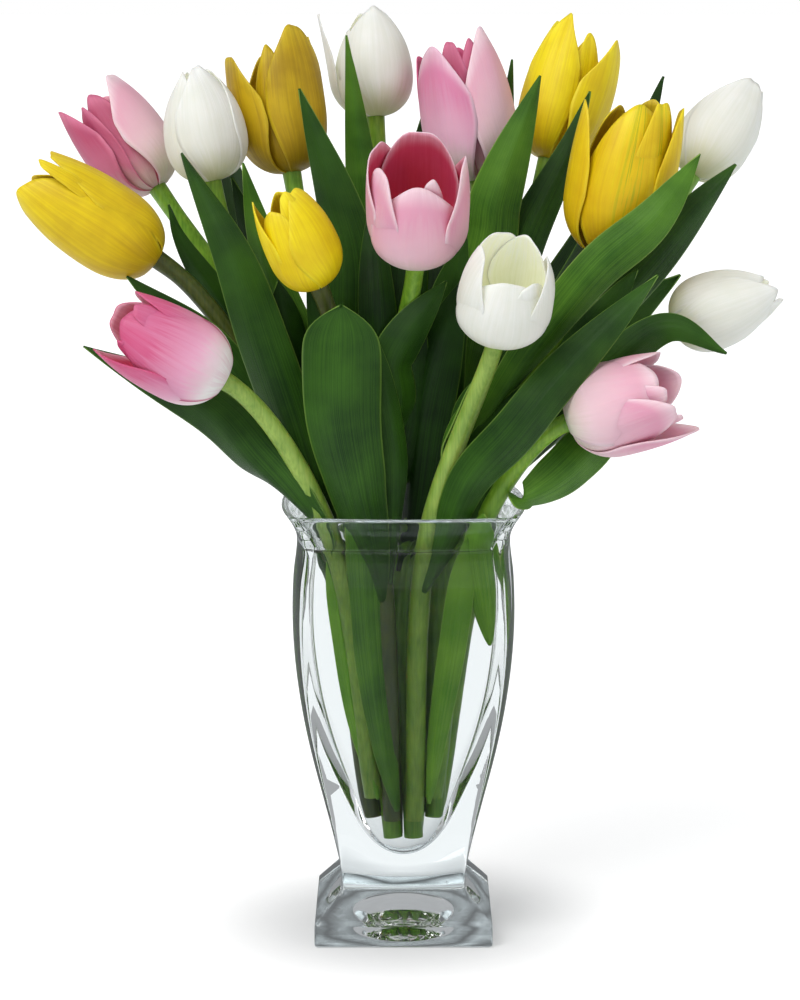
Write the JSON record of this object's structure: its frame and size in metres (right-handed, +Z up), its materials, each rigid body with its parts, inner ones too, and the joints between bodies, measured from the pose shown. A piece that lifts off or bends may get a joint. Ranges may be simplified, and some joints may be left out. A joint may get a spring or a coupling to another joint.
{
  "type": "tulips in a vase",
  "caption": "Cut tulips in yellow, pink and white with their leaves, standing in water in a square footed clear glass vase with a flared rim.",
  "frame": {"origin": "centre of the underside of the vase's foot, on the surface that it stands on", "axes": "+Z up through the vase to the blooms, +X to the viewer's right, -Y towards the viewer"},
  "size_m": [0.3694, 0.2226, 0.4551],
  "materials": {
    "clear_glass": "polished",
    "water": "gloss",
    "stem_green": "satin",
    "leaf_green": "satin",
    "petal_yellow": "satin",
    "petal_pink": "satin",
    "petal_white": "satin"
  },
  "bodies": {
    "root": {"bloom_pink_1": "petal_pink", "bloom_pink_2": "petal_pink", "bloom_pink_3": "petal_pink", "bloom_pink_4": "petal_pink", "bloom_pink_5": "petal_pink", "bloom_white_1": "petal_white", "bloom_white_2": "petal_white", "bloom_white_3": "petal_white", "bloom_white_4": "petal_white", "bloom_white_5": "petal_white", "bloom_yellow_1": "petal_yellow", "bloom_yellow_2": "petal_yellow", "bloom_yellow_3": "petal_yellow", "bloom_yellow_4": "petal_yellow", "bloom_yellow_5": "petal_yellow", "leaf_pink_1_a": "leaf_green", "leaf_pink_1_b": "leaf_green", "leaf_pink_2_a": "leaf_green", "leaf_pink_3_a": "leaf_green", "leaf_pink_3_b": "leaf_green", "leaf_pink_4_a": "leaf_green", "leaf_pink_4_b": "leaf_green", "leaf_pink_5_a": "leaf_green", "leaf_white_1_a": "leaf_green", "leaf_white_2_a": "leaf_green", "leaf_white_2_b": "leaf_green", "leaf_white_3_a": "leaf_green", "leaf_white_3_b": "leaf_green", "leaf_white_4_a": "leaf_green", "leaf_white_4_b": "leaf_green", "leaf_white_5_a": "leaf_green", "leaf_white_5_b": "leaf_green", "leaf_yellow_1_a": "leaf_green", "leaf_yellow_1_b": "leaf_green", "leaf_yellow_1_c": "leaf_green", "leaf_yellow_2_a": "leaf_green", "leaf_yellow_3_a": "leaf_green", "leaf_yellow_3_b": "leaf_green", "leaf_yellow_4_a": "leaf_green", "leaf_yellow_4_b": "leaf_green", "leaf_yellow_5_a": "leaf_green", "leaf_yellow_5_b": "leaf_green", "leaf_yellow_5_c": "leaf_green", "stem_pink_1": "stem_green", "stem_pink_2": "stem_green", "stem_pink_3": "stem_green", "stem_pink_4": "stem_green", "stem_pink_5": "stem_green", "stem_white_1": "stem_green", "stem_white_2": "stem_green", "stem_white_3": "stem_green", "stem_white_4": "stem_green", "stem_white_5": "stem_green", "stem_yellow_1": "stem_green", "stem_yellow_2": "stem_green", "stem_yellow_3": "stem_green", "stem_yellow_4": "stem_green", "stem_yellow_5": "stem_green", "vase": "clear_glass", "water": "water"}
  },
  "joints": []
}
